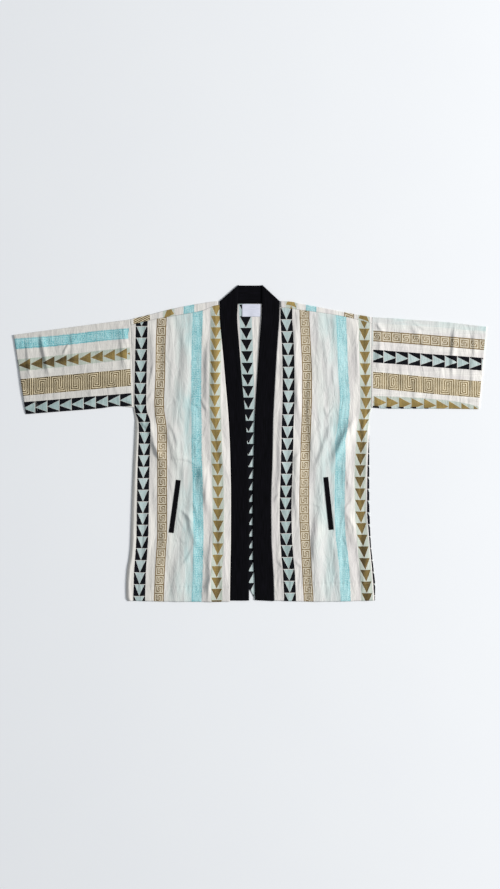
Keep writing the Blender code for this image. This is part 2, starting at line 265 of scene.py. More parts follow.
# The smaller creases: each is a ridge, or a trough where its height is negative
CREASES = table(
    "x0 y0 x1 y1 bow width height",
    (-312, 92, -258, 30, 6, 5, 3.0),
    (-300, 60, -286, 10, 3, 6, 1.8),
    (-268, 16, -244, -44, -2, 4, 3.4),
    (-274, 134, -256, 232, -2, 4, 1.8),
    (-280, 112, -264, 144, 1, 4, 1.8),
    (-111, 306, -113, 56, 3, 11, 5.0),
    (-132, 128, -114, 88, 2, 4, 2.4),
    (-162, 110, -130, 90, -1, 4, -1.6),
    (-160, 18, -134, 6, 1, 4, -1.3),
    (-224, -41, -140, -58, -11, 4, 2.4),
    (-132, -48, -136, -142, 2, 10, 3.4),
    (-152, -150, -140, -190, 2, 5, 1.6),
    (-194, -171, -150, -222, -5, 4, 2.2),
    (-196, -192, -178, -230, -1, 3, 1.3),
    (-212, -262, -168, -268, -1, 4, -1.1),
    (-152, -268, -190, -334, -5, 5, 1.8),
    (-94, -312, -128, -418, -4, 7, 2.8),
    (-108, -60, -120, -170, 3, 6, 2.4),
    (-62, -10, -50, -100, 3, 8, 1.6),
    (-204, 250, -210, 120, 5, 7, 1.4),
    (-188, 210, -182, 60, 3, 7, 1.3),
    (-222, 66, -192, -14, -5, 7, 3.4),
    (-150, 150, -160, 60, 3, 6, 1.0),
    (-236, -190, -214, -320, 6, 8, 1.3),
    (-160, -260, -150, -400, -5, 8, 1.2),
    (-256, -250, -262, -410, 3, 7, 1.4),
    (-262, -60, -258, -230, -3, 6, 1.4),
    (-300, -120, -304, -260, 2, 6, 1.1),
    (-68, -240, -66, -380, 2, 6, 1.3),
    (300, 92, 220, -70, 9, 9, 4.0),
    (216, 62, 172, -78, -4, 9, 3.6),
    (213, 58, 211, 2, 0, 4, 1.8),
    (196, 70, 158, -44, 4, 8, 1.2),
    (318, 84, 300, 20, 4, 6, 2.2),
    (201, 106, 209, 74, 2, 3, 1.8),
    (209, 74, 222, 100, 1, 3, 1.6),
    (176, 250, 186, 140, -4, 6, 1.3),
    (224, 220, 230, 150, 3, 4, 1.4),
    (150, 300, 236, 316, 3, 4, 0.8),
    (124, 150, 136, 30, -3, 5, 1.6),
    (90, 250, 84, 120, 3, 6, 1.4),
    (60, -156, 82, -128, 1, 4, 1.8),
    (72, -308, 92, -334, 1, 4, 1.5),
    (114, -42, 138, -20, 1, 4, 1.7),
    (118, -308, 144, -334, 1, 4, 1.8),
    (118, -110, 128, -230, -3, 5, 1.5),
    (156, -158, 200, -172, -2, 4, 1.0),
    (170, -210, 180, -330, 4, 7, 1.8),
    (252, -178, 278, -140, 2, 4, 1.5),
    (256, -178, 286, -244, -2, 4, 1.4),
    (246, -242, 260, -280, 1, 3, -1.4),
    (262, -60, 270, -130, 3, 5, 1.6),
    (140, -250, 150, -400, -4, 8, 1.2),
    (270, -300, 292, -420, 4, 8, 1.4),
    (206, -330, 214, -424, 3, 7, 1.2),
    (84, -120, 80, -230, 3, 6, 1.3),
    (-484, 278, -505, 238, 2, 3, 3.0),
    (-576, 322, -544, 176, 2, 4, -1.6),
    (-566, 320, -536, 168, 2, 5, 2.0),
    (-612, 308, -600, 210, 1, 4, -1.3),
    (-520, 190, -528, 110, 2, 5, 1.2),
    (-484, 312, -480, 260, 1, 4, 1.2),
    (-344, 332, -328, 250, 2, 4, 2.2),
    (-366, 180, -352, 110, 2, 6, 1.2),
    (336, 333, 362, 300, 1, 4, 2.2),
    (434, 338, 478, 308, 3, 4, 1.8),
    (547, 338, 536, 150, 1, 3, -0.9),
    (554, 336, 543, 140, 1, 4, 1.3),
    (598, 322, 602, 226, 1, 4, -1.5),
    (520, 240, 512, 120, 2, 5, 1.2),
    (408, 240, 414, 130, 2, 7, 1.1),
    (500, 170, 492, 104, 2, 6, 1.2),
)

# Long soft ripples that run with the threads everywhere
WAVES = table(
    "length bend phase height",
    (71, 520, 2.2, 0.95),
    (46, 410, 0.3, 0.74),
    (29, 290, 1.9, 0.44),
    (17, 170, 4.1, 0.20),
)


def bell(distance, width):
    """1 in the middle and fading to both sides: exp(-(distance / width) squared)."""
    return np.exp(-(distance / width) ** 2)


def rolled(depth, distance, width):
    """How far a turned edge has rolled down at a distance from it."""
    return depth * (1.0 - smooth(distance / width))


def placed(lines, x, y, fade, steep, gentle, past_hem):
    """How far a table's folds lift the cloth: each is a bell across its line and fades in and out along it.

    The line is bowed sideways as a parabola, 4 bow t (1 - t) from the straight one. The bell's left side is
    steep and its other side gentle, because the distance across it is divided by less on the left. Where
    past_hem is 1, a fold that ends at the hem doesn't fade out there.
    """
    lift = np.zeros_like(x)
    for x0, y0, x1, y1, bow, width, height in zip(*lines.values()):
        run = np.array([x1 - x0, y1 - y0])
        length = np.hypot(*run)
        along = ((x - x0) * run[0] + (y - y0) * run[1]) / length**2
        centre = 4.0 * bow * along * (1.0 - along)
        aside = (((x - x0) * run[1] - (y - y0) * run[0]) / length - centre) / width
        far_end = np.maximum(smooth((1.0 - along) / fade), past_hem * (y1 <= HEM["front"].max()))
        ends = smooth(along / fade) * far_end
        lift += height * bell(aside, np.where(aside * run[1] * height < 0.0, steep, gentle)) * ends
    return lift


def placed_folds(x, y):
    """The large folds and the small creases together."""
    return placed(RIDGES, x, y, 0.25, 0.8, 1.3, 1) + placed(CREASES, x, y, 0.35, 0.75, 2.0, 0)


def ripples(across, along):
    """The sum of waves across the cloth, each bent slowly sideways and swelling and fading along it.

    Each is the cosine of an angle to which 0.45 of its cosine is added, so that its left slopes are steep.
    """
    lift = np.zeros_like(across)
    for length, bend, phase, height in zip(*WAVES.values()):
        sway = 1.3 * np.sin(2.0 * np.pi * along / bend + 3.0 * phase)
        swell = 0.55 + 0.45 * np.cos(2.0 * np.pi * along / (1.7 * bend) + 2.0 * phase + across / 90.0)
        angle = 2.0 * np.pi * across / length + phase + sway
        lift += height * swell * np.cos(angle + 0.45 * np.cos(angle))
    return lift


def grid(columns, rows):
    """Two arrays of rows by columns, which run from 0 to 1 across and along."""
    return np.meshgrid(np.linspace(0.0, 1.0, columns + 1), np.linspace(0.0, 1.0, rows + 1))


def hex_colour(code):
    """An sRGB hex colour as linear red, green, blue and full alpha."""
    parts = np.array([int(code[k:k + 2], 16) for k in (1, 3, 5)]) / 255.0
    linear = np.where(parts <= 0.04045, parts / 12.92, ((parts + 0.055) / 1.055) ** 2.4)
    return (*linear.tolist(), 1.0)


def add(tree, kind, inputs=(), out=0, **settings):
    """Adds one node with its settings, and sets or links its sockets. Returns one of its outputs.

    Where a node has an operation, its name comes after the kind's.
    """
    kind, _, operation = kind.partition(" ")
    node = tree.nodes.new("ShaderNode" + kind)
    if operation:
        node.operation = operation
    for name, value in settings.items():
        setattr(node, name, value)
    for key, value in dict(inputs if isinstance(inputs, dict) else enumerate(inputs)).items():
        if isinstance(value, bpy.types.NodeSocket):
            tree.links.new(value, node.inputs[key])
        else:
            node.inputs[key].default_value = value
    return node.outputs[out]


def new_material(name, roughness, gloss):
    """A Principled material with the numbers that are the same all over set on its own sockets."""
    material = bpy.data.materials.new(name)
    material.use_nodes = True
    sockets = material.node_tree.nodes["Principled BSDF"].inputs
    sockets["Roughness"].default_value = roughness
    sockets["Specular IOR Level"].default_value = gloss
    return material, material.node_tree


def finished(material, colour, bump=None):
    """Links a material's colour, and a bump with the sockets given. Returns the material."""
    tree = material.node_tree
    sockets = tree.nodes["Principled BSDF"].inputs
    tree.links.new(colour, sockets["Base Color"])
    if bump:
        tree.links.new(add(tree, "Bump", bump), sockets["Normal"])
    return material


# Where each printed stripe has its middle on the "print" map, in millimetres. 50 to each side belongs to it.
SLOTS = {name: 100.0 * k for k, name in enumerate(
    ("black_mint", "narrow_key", "washed_aqua", "gold", "black_on_mint", "wide_key", "aqua"))}
SLOT_REACH = 48.0
TRIANGLE = 31.0
NARROW_UNIT = 24.0
WIDE_UNIT = 48.0
KEY_LINE = 4.8
KEY_HALVES = {"narrow_key": 13.2, "washed_aqua": 12.6, "wide_key": 22.4, "aqua": 13.2}


def paint(tree, under, colour, mask):
    """Lays a colour over another where the mask is 1. Each is a hex code, or what another node gives."""
    under, colour = (hex_colour(part) if isinstance(part, str) else part for part in (under, colour))
    return add(tree, "Mix", {0: mask, 6: under, 7: colour}, 2, data_type="RGBA")


def repeat_share(tree, v, unit):
    """How far each point is along its repeat, from 0 to 1."""
    return add(tree, "Math FRACT", (add(tree, "Math DIVIDE", (v, unit)),))


def print_triangles(tree, under, u, v, slot, half, taper, ink, ground, ground_half, edge, base):
    """A row of triangles with their points down, on a ground, edged with fine unprinted lines.

    At a share s of the way from one base to the next, a triangle's half width is half times (1 - s / taper).
    The last share of the way, past base, is left unprinted too.
    """
    aside = add(tree, "Math SUBTRACT", (u, SLOTS[slot]))
    aside = add(tree, "Math ABSOLUTE", (aside,))
    share = repeat_share(tree, v, TRIANGLE)
    reach = add(tree, "Math MULTIPLY_ADD", (share, -half / taper, half))
    inside = add(tree, "Math SUBTRACT", (reach, aside))
    on_ground = add(tree, "Math LESS_THAN", (aside, ground_half))
    base_line = add(tree, "Math GREATER_THAN", (share, base))
    edge_line = add(tree, "Math COMPARE", (inside, 0.0, edge))
    bare = add(tree, "Math MAXIMUM", (base_line, edge_line))
    bare = add(tree, "Math MULTIPLY", (bare, on_ground))
    inked = add(tree, "Math GREATER_THAN", (inside, 0.0))
    drawn = paint(tree, under, ground, on_ground)
    drawn = paint(tree, drawn, ink, inked)
    return paint(tree, drawn, under, bare)


def key_distances(tree, u, v, slot, unit, shift, tall=0.0):
    """How far a point is from the middle of its key: the larger of the two offsets, which gives squares.

    The second distance slides the two halves of the key apart by the shift, which turns the squares into a
    hook, and makes them taller than they are wide by twice tall.
    """
    side = add(tree, "Math SUBTRACT", (u, SLOTS[slot]))
    aside = add(tree, "Math ABSOLUTE", (side,))
    sign = add(tree, "Math SIGN", (side,))
    share = repeat_share(tree, v, unit)
    along = add(tree, "Math MULTIPLY_ADD", (share, unit, -unit / 2))
    square = add(tree, "Math MAXIMUM", (aside, add(tree, "Math ABSOLUTE", (along,))))
    apart = add(tree, "Math MULTIPLY", (sign, shift))
    slid = add(tree, "Math SUBTRACT", (along, apart))
    over = add(tree, "Math SUBTRACT", (aside, tall))
    hook = add(tree, "Math MAXIMUM", (over, add(tree, "Math ABSOLUTE", (slid,))))
    return aside, square, hook


def narrow_key(tree, u, v, slot):
    """Light lines of the small key: a square 9.2 mm from its middle, a hook at 4.7 mm and a spot within 1.3."""
    aside, square, hook = key_distances(tree, u, v, slot, NARROW_UNIT, 1.3)
    outer = add(tree, "Math COMPARE", (square, 9.2, 1.0))
    inner = add(tree, "Math COMPARE", (hook, 4.7, 0.9))
    spot = add(tree, "Math LESS_THAN", (hook, 1.3))
    lines = add(tree, "Math MAXIMUM", (outer, inner))
    return aside, add(tree, "Math MAXIMUM", (lines, spot))


def streaks(tree, vector, scale, **inputs):
    """Noise drawn out one way: its cells are a metre divided by the scale, in each direction."""
    drawn_out = add(tree, "Mapping", {"Vector": vector, "Scale": scale})
    return add(tree, "TexNoise", {"Vector": drawn_out, "Scale": 1.0, **inputs})


def plain_weave(tree, cloth):
    """Threads that pass over and under each other: sin(pi u / 1 mm) times sin(pi v / 1 mm).

    They are 1 mm apart, which is coarser than the real 0.4 mm, so that they show.
    """
    waves = add(tree, "VectorMath SCALE", {0: cloth, "Scale": np.pi / 0.001})
    sines = add(tree, "SeparateXYZ", (add(tree, "VectorMath SINE", (waves,)),))
    return add(tree, "Math MULTIPLY", (sines, sines.node.outputs[1]))


def bare_cotton(tree, slubs, patchy, thin_ink_and_painted_light):
    """The cloth between the prints: ivory, greyer along its slubs and in patches, and darker towards the left
    sleeve, which is painted shade away from the window.
    """
    slubbed = add(tree, "MapRange", (slubs, 0.42, 0.72))
    ivory = paint(tree, "#E4E1DB", "#CFCCC8", slubbed)
    ivory = paint(tree, ivory, "#CFC9C9", add(tree, "Math MULTIPLY", (patchy, 0.5)))
    # Painted shade: the bare ivory is darker towards the left, away from the window
    return paint(tree, "#C2C0B9", ivory, add(tree, "MapRange", (thin_ink_and_painted_light, 0.0, 1.0, 0.35, 1.0)))


def print_wash(tree, under, u, cloth, patches):
    """The wash to the left of the aqua stripe: strong for 35 mm, then fainter up to the narrow key."""
    aqua, key = SLOTS["washed_aqua"], SLOTS["narrow_key"]
    near = add(tree, "MapRange", (u, aqua - SLOT_REACH, aqua - 14.0, 0.42, 0.85))
    for limit, test in ((aqua - SLOT_REACH - 1.0, "Math GREATER_THAN"), (aqua, "Math LESS_THAN")):
        near = add(tree, "Math MULTIPLY", (near, add(tree, test, (u, limit))))
    far = add(tree, "MapRange", (u, key + 6.0, key + SLOT_REACH, 0.0, 0.42))
    in_reach = add(tree, "Math LESS_THAN", (u, key + SLOT_REACH + 1.0))
    wash = add(tree, "Math MULTIPLY_ADD", (far, in_reach, near))
    # It has streaks, and it ran in some places and hardly took in others, 150 mm apart
    runs = add(tree, "TexNoise", {"Vector": cloth, "Scale": 7.0, "Detail": 2.0})
    for limits in ((patches, 0.58, 0.42, 0.45, 0.92), (runs, 0.4, 0.6, 0.6, 1.25)):
        wash = add(tree, "Math MULTIPLY", (wash, add(tree, "MapRange", limits)))
    return paint(tree, under, "#AFCCCC", wash)


def print_aqua(tree, under, u, v, slot, framed, keyed, dry, bald, pooled):
    """An aqua stripe: light lines of a small key, specks of bare thread, a darker rim and a ragged edge."""
    half = KEY_HALVES[slot]
    aside, lines = narrow_key(tree, u, v, slot)
    aqua = paint(tree, "#56A0A8", "#B6DADC", pooled)
    rim = add(tree, "Math COMPARE", (aside, half - 1.4, 0.8))
    for colour, mask, share in (("#BEE0E0", lines, keyed), ("#D2E8E7", bald, 0.6), ("#5EA5AE", rim, framed)):
        aqua = paint(tree, aqua, colour, add(tree, "Math MULTIPLY", (mask, share)))
    # Specks of it fade out over 4 mm
    ragged = add(tree, "Math MULTIPLY_ADD", (dry, 3.0, aside))
    band = add(tree, "MapRange", (ragged, half + 3.0, half + 0.6))
    return paint(tree, under, aqua, band)


def print_wide_key(tree, under, u, v, across, thin):
    """Nested hooks in brown lines on cream.

    Every second one is hooked the other way on the left sleeve, and closed on the right.
    """
    first = add(tree, "Math GREATER_THAN", (repeat_share(tree, v, 2.0 * WIDE_UNIT), 0.5))
    second = add(tree, "Math GREATER_THAN", (across, 0.0))
    second = add(tree, "Math SUBTRACT", (second, 1.0))
    hooked = add(tree, "Mix", {0: first, 2: second, 3: 1.0}, data_type="FLOAT")
    hooked = add(tree, "Math MULTIPLY", (hooked, KEY_LINE))
    aside, _, hook = key_distances(tree, u, v, "wide_key", WIDE_UNIT, hooked, 6.4)
    turns = add(tree, "Math MULTIPLY_ADD", (hook, 1.0 / KEY_LINE, 0.28))
    turns = add(tree, "Math FRACT", (turns,))
    turns = add(tree, "Math LESS_THAN", (turns, 0.56))
    cream = paint(tree, "#CABB9B", "#EEE2C6", thin)
    brown = paint(tree, "#1E1500", "#836D41", thin)
    key = paint(tree, cream, brown, turns)
    return paint(tree, under, key, add(tree, "Math LESS_THAN", (aside, KEY_HALVES["wide_key"])))


def printed_cotton():
    """Plain-weave cotton lawn, bleached to ivory and screen printed: matt, with slubs along the threads.

    The inks are dry and a little uneven, so the cloth shows through them as fine specks.
    """
    material, tree = new_material("screen_printed_plain_weave_cotton", 0.9, 0.1)
    cloth = add(tree, "UVMap", uv_map="cloth")
    place = add(tree, "TexCoord", out="Object")
    # The screen's edges wander by a third of a millimetre, over 7 mm
    wander = add(tree, "TexNoise", {"Vector": cloth, "Scale": 140.0, "Detail": 2.0}, "Color")
    wander = add(tree, "VectorMath SUBTRACT", (wander, (0.5, 0.5, 0.5)))
    wander = add(tree, "VectorMath SCALE", {0: wander, "Scale": 1.4})
    spot = add(tree, "VectorMath ADD", (add(tree, "UVMap", uv_map="print"), wander))
    u = add(tree, "SeparateXYZ", (spot,))
    v = u.node.outputs[1]
    # Specks of bare thread, 2.5 mm apart, which is coarser than the real weave so that they show
    specks = add(tree, "TexNoise", {"Vector": cloth, "Scale": 420.0, "Detail": 3.0, "Roughness": 0.7})
    dry = add(tree, "MapRange", (specks, 0.44, 0.64))
    bald = add(tree, "MapRange", (specks, 0.56, 0.62))
    # Slubs: thick places in the threads, 2 mm wide and 60 mm long
    slubs = streaks(tree, cloth, (420.0, 16.0, 1.0), Detail=3.0, Roughness=0.6)
    # Patches 25 mm wide and 120 mm long, where the cloth was greyer or the wash ran
    patches = streaks(tree, cloth, (40.0, 8.0, 1.0), Detail=4.0, Roughness=0.55)
    patchy = add(tree, "MapRange", (patches, 0.42, 0.6))
    # The inks are thinner towards the right side of the garment, and darkest on the left sleeve. The same share
    # darkens the bare ivory towards the left as painted shade, away from the window
    across = add(tree, "SeparateXYZ", (place,))
    upward = across.node.outputs[1]
    thin_ink_and_painted_light = add(tree, "MapRange", (across, -0.55, 0.2))
    thin = add(tree, "Math MULTIPLY", (thin_ink_and_painted_light, 0.4))
    for part, weight in ((dry, 0.4), (patchy, 0.25)):
        thin = add(tree, "Math MULTIPLY_ADD", (part, weight, thin))
    drawn = print_wash(tree, bare_cotton(tree, slubs, patchy, thin_ink_and_painted_light), u, cloth, patches)

    # The mint is darker at the foot of the right front, and lighter at the foot of the left
    low = add(tree, "MapRange", (upward, 0.0, -0.2))
    deep = add(tree, "Math GREATER_THAN", (across, 0.05))
    deep = add(tree, "Math MULTIPLY_ADD", (deep, 0.6, -0.25))
    deep = add(tree, "Math SUBTRACT", (thin, add(tree, "Math MULTIPLY", (low, deep))))
    mint = paint(tree, "#90A6A4", "#C1CECD", deep)
    pale_mint = paint(tree, "#A0A99C", "#C4CBC1", thin)
    # The gold is darkest on the left sleeve, towards the hem and down the right side seam
    golden = add(tree, "MapRange", (across, -0.5, -0.15, -0.25, 0.35))
    at_side = add(tree, "Math COMPARE", (across, 0.308, 0.036))
    for part, weight in ((upward, 0.6), (at_side, -0.25), (dry, 0.3), (patchy, 0.35)):
        golden = add(tree, "Math MULTIPLY_ADD", (part, weight, golden))
    gold = paint(tree, "#4E422B", "#A68F57", golden)
    ink = "#0C0D13"
    drawn = print_triangles(tree, drawn, u, v, "black_mint", 13.0, 0.95, mint, ink, 16.1, 0.25, 0.965)
    drawn = print_triangles(tree, drawn, u, v, "gold", 14.7, 1.02, gold, pale_mint, 15.4, 0.3, 1.0)
    drawn = print_triangles(tree, drawn, u, v, "black_on_mint", 15.6, 0.97, ink, mint, 16.6, 0.25, 1.0)

    # The aqua lies in pools 45 mm across with smaller ones in them, deeper in some than in others
    pools = add(tree, "TexNoise", {"Vector": cloth, "Scale": 22.0, "Detail": 6.0, "Roughness": 0.75})
    pooled = add(tree, "Math SUBTRACT", (thin, 0.9))
    pooled = add(tree, "Math MULTIPLY_ADD", (pools, 1.8, pooled))
    drawn = print_aqua(tree, drawn, u, v, "washed_aqua", 0.3, 0.38, dry, bald, pooled)
    drawn = print_aqua(tree, drawn, u, v, "aqua", 0.6, 0.4, dry, bald, pooled)

    aside, lines = narrow_key(tree, u, v, "narrow_key")
    tan = paint(tree, paint(tree, "#67583F", "#978668", thin), "#D6CDB9", lines)
    half = KEY_HALVES["narrow_key"]
    tan = paint(tree, tan, "#7B6748", add(tree, "Math GREATER_THAN", (aside, half - 1.8)))
    drawn = paint(tree, drawn, tan, add(tree, "Math LESS_THAN", (aside, half)))
    drawn = print_wide_key(tree, drawn, u, v, across, thin)

    # Fine wrinkles from lying folded, 20 mm apart and 70 mm long, above the threads' own grain
    wrinkles = streaks(tree, place, (50.0, 14.0, 14.0), Detail=3.0, Roughness=0.6, Distortion=0.6)
    wrinkled = add(tree, "Bump", {"Height": wrinkles, "Strength": 1.0, "Distance": 0.003})
    grain = add(tree, "TexNoise", {"Vector": cloth, "Scale": 900.0, "Detail": 2.0})
    height = add(tree, "Math MULTIPLY_ADD", (slubs, 0.7, grain))
    height = add(tree, "Math MULTIPLY_ADD", (plain_weave(tree, cloth), 0.3, height))
    return finished(material, drawn,
                    {"Height": height, "Strength": 0.5, "Distance": 0.0004, "Normal": wrinkled})


def dyed_cotton():
    """The same plain-weave cotton dyed black: matt, with a faint bloom of fibres along its threads."""
    material, tree = new_material("black_dyed_plain_weave_cotton", 0.9, 0.06)
    cloth = add(tree, "UVMap", uv_map="cloth")
    slubs = streaks(tree, cloth, (500.0, 25.0, 1.0), Detail=3.0, Roughness=0.6)
    bloom = add(tree, "MapRange", (slubs, 0.4, 0.75))
    height = add(tree, "Math MULTIPLY_ADD", (plain_weave(tree, cloth), 0.3, slubs))
    dyed = paint(tree, "#050507", "#0F0E14", bloom)
    return finished(material, dyed, {"Height": height, "Strength": 0.5, "Distance": 0.0004})


def label_satin():
    """A woven polyester satin tape, bleached bluish white: smooth, with fine floats across it."""
    material, tree = new_material("bleached_woven_satin", 0.55, 0.4)
    cloth = add(tree, "UVMap", uv_map="cloth")
    floats = streaks(tree, cloth, (60.0, 900.0, 1.0), Detail=2.0)
    share = add(tree, "MapRange", (floats, 0.35, 0.65))
    bleached = paint(tree, "#D6D8E4", "#C6C9D6", share)
    return finished(material, bleached, {"Height": floats, "Strength": 0.3, "Distance": 0.0002})


def thread(name, dark, light):
    """Spun polyester sewing thread, a little shiny: its plies are a fine mottling, 0.4 mm long."""
    material, tree = new_material(name, 0.6, 0.3)
    place = add(tree, "TexCoord", out="Object")
    plies = add(tree, "TexNoise", {"Vector": place, "Scale": 2500.0, "Detail": 2.0})
    dyed = paint(tree, dark, light, plies)
    return finished(material, dyed, {"Height": plies, "Strength": 0.4, "Distance": 0.0001})


def floor_paint():
    """A board painted a pale bluish white: matt and almost even, with a trace of the roller."""
    material, tree = new_material("matt_painted_board", 0.9, 0.2)
    place = add(tree, "TexCoord", out="Object")
    trace = add(tree, "TexNoise", {"Vector": place, "Scale": 3.0, "Detail": 4.0})
    return finished(material, paint(tree, "#E8EAEC", "#E5E7EA", trace))


def put(name, data):
    """Puts a mesh, a light or the camera in the scene."""
    holder = bpy.data.objects.new(name, data)
    bpy.context.scene.collection.objects.link(holder)
    return holder


def shell(name, x, y, z, across, along, stripes, thick, material, left_out=None, bare=None):
    """One wall of cloth: the grid's points joined in squares, its UV maps, and half its thickness each way.

    stripes lists, for each printed stripe, its print, how far each point is from its middle and how far along
    it. Each square takes the stripe whose middle is nearest, or none where a corner is bare.
    """
    corner = np.arange(x.size).reshape(x.shape)
    quads = np.stack([corner[:-1, :-1], corner[:-1, 1:], corner[1:, 1:], corner[1:, :-1]], -1)
    quads = quads.reshape(-1, 4) if left_out is None else quads[~left_out]
    used, joined = np.unique(quads, return_inverse=True)
    points = np.stack([x, y, z], -1).reshape(-1, 3)[used] * MM
    mesh = bpy.data.meshes.new(name)
    mesh.from_pydata(points.tolist(), [], joined.reshape(-1, 4).tolist())
    mesh.shade_smooth()
    threads = np.stack([across.ravel()[quads], along.ravel()[quads]], -1) * MM
    mesh.uv_layers.new(name="cloth").data.foreach_set("uv", threads.astype(np.float32).ravel())
    if stripes:
        aside = np.stack([part[1].ravel() for part in stripes])
        onward = np.stack([part[2].ravel() for part in stripes])
        middle = np.array([SLOTS[part[0]] for part in stripes])
        nearest = np.abs(aside[:, quads].mean(-1)).argmin(0)
        u = np.clip(aside[nearest[:, None], quads], -SLOT_REACH, SLOT_REACH)
        if bare is not None:
            u = np.where(bare.ravel()[quads].any(1)[:, None], SLOT_REACH, u)
        u = u + middle[nearest][:, None]
        print_spots = np.stack([u, onward[nearest[:, None], quads]], -1)
        mesh.uv_layers.new(name="print").data.foreach_set("uv", print_spots.astype(np.float32).ravel())
    piece = put(name, mesh)
    wall = piece.modifiers.new("wall", "SOLIDIFY")
    wall.thickness = thick * MM
    wall.offset = 0.0
    mesh.materials.append(material)
    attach(piece, "root")
    return piece


def stitches(name, x, y, z, material):
    """A row of stitches along a line on the cloth: each rises out of it and dips back into it.

    Each covers 0.8 of its pitch. At a share t of its way its middle is at THREAD * (sin(pi t) - 0.5), and its
    ring of six points has a radius of THREAD / 2 * (0.3 + 0.7 sin(pi t)).
    """
    along = np.concatenate([[0.0], np.cumsum(np.hypot(np.diff(x), np.diff(y)))])
    count = int(along[-1] // STITCH)
    k, station, side = np.meshgrid(np.arange(count), np.arange(6), np.arange(6), indexing="ij")
    hump = np.sin(np.pi * station / 5)
    at = (k + 0.1 + 0.16 * station) * along[-1] / count
    run = [np.interp(at + 0.4, along, part) - np.interp(at - 0.4, along, part) for part in (x, y)]
    radius = THREAD / 2 * (0.3 + 0.7 * hump)
    aside = radius * np.cos(side * np.pi / 3) / np.hypot(*run)
    points = np.stack([
        np.interp(at, along, x) - aside * run[1],
        np.interp(at, along, y) + aside * run[0],
        np.interp(at, along, z) + THREAD * (hump - 0.5) + radius * np.sin(side * np.pi / 3),
    ], -1)
    corner = np.arange(points[..., 0].size).reshape(count, 6, 6)
    onward = np.roll(corner, -1, 2)
    quads = np.stack([corner[:, :-1], onward[:, :-1], onward[:, 1:], corner[:, 1:]], -1).reshape(-1, 4)
    ends = np.concatenate([corner[:, 0, ::-1], corner[:, -1]])
    mesh = bpy.data.meshes.new(name)
    mesh.from_pydata((points.reshape(-1, 3) * MM).tolist(), [], quads.tolist() + ends.tolist())
    mesh.shade_smooth()
    mesh.materials.append(material)
    piece = put(name, mesh)
    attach(piece, "root")


# The printed stripes of the fronts: their middles at several heights. In the fold at the armpit a length of
# the outermost one is tucked away, and the slip says how far the print below it has moved up.
STRIPES = {
    "left": table(
        "height black_mint narrow_key washed_aqua gold slip",
        (-413, -299, -246, -144, -90, 16),
        (-346, -297, -243, -141, -90, 18),
        (-292, -293, -240, -140, -87, 21),
        (-238, -290, -237, -139, -86, 22),
        (-173, -289, -237, -140, -86, 23),
        (-92, -288, -237, -141, -87, 24),
        (-22, -286, -237, -144, -90, 24),
        (35, -284, -237, -144, -92, 24),
        (62, -285, -240, -144, -93, 20),
        (89, -294, -244, -145, -94, 11),
        (113, -296, -245, -145, -95, 4),
        (186, -295, -242, -145, -94, 1),
        (267, -293, -241, -144, -93, 0),
        (340, -292, -238, -141, -91, 0),
    ),
    "right": table(
        "height black_mint narrow_key washed_aqua gold edge slip",
        (-413, 108, 158, 258, 316, 351.5, 0),
        (-346, 105, 154, 255, 312, 346, 1),
        (-292, 100, 151, 250, 307, 341, 2),
        (-238, 97, 148, 244, 302, 336, 3),
        (-173, 96, 146, 242, 298, 331.6, 3.5),
        (-92, 98, 147, 243, 297, 332.2, 4),
        (-22, 100, 149, 244, 299, 334.4, 4.5),
        (8, 101, 150, 243, 301, 336, 5),
        (35, 101, 151, 248, 302, 338, 5),
        (62, 102, 152, 252, 306, 341, 5),
        (89, 103, 153, 254, 311, 344, 1),
        (124, 104, 154, 256, 313, 346, 0),
        (186, 104, 154, 252, 311, 346, 0),
        (267, 102, 151, 249, 309, 346, 0.5),
        (340, 98, 147, 246, 308, 346, 1),
    ),
}

SLIPPED = {"left": "black_mint", "right": "gold"}

# Where each stripe has one triangle's base or one key's edge, and how long its repeat is there
REPEATS = {
    "left": {"black_mint": (318.0, 31.0), "narrow_key": (246.5, 24.0), "washed_aqua": (250.0, 24.0),
             "gold": (346.9, 30.67)},
    "right": {"black_mint": (368.5, 32.07), "narrow_key": (269.0, 24.0), "washed_aqua": (262.0, 24.0),
              "gold": (342.8, 31.0), "edge": (-88.9, 31.96)},
}
UNITS = {"black_mint": TRIANGLE, "gold": TRIANGLE, "black_on_mint": TRIANGLE, "narrow_key": NARROW_UNIT,
         "washed_aqua": NARROW_UNIT, "aqua": NARROW_UNIT, "wide_key": WIDE_UNIT}
# The print of the stripe that a right edge cuts through
EDGE_PRINT = {"edge": "black_mint"}


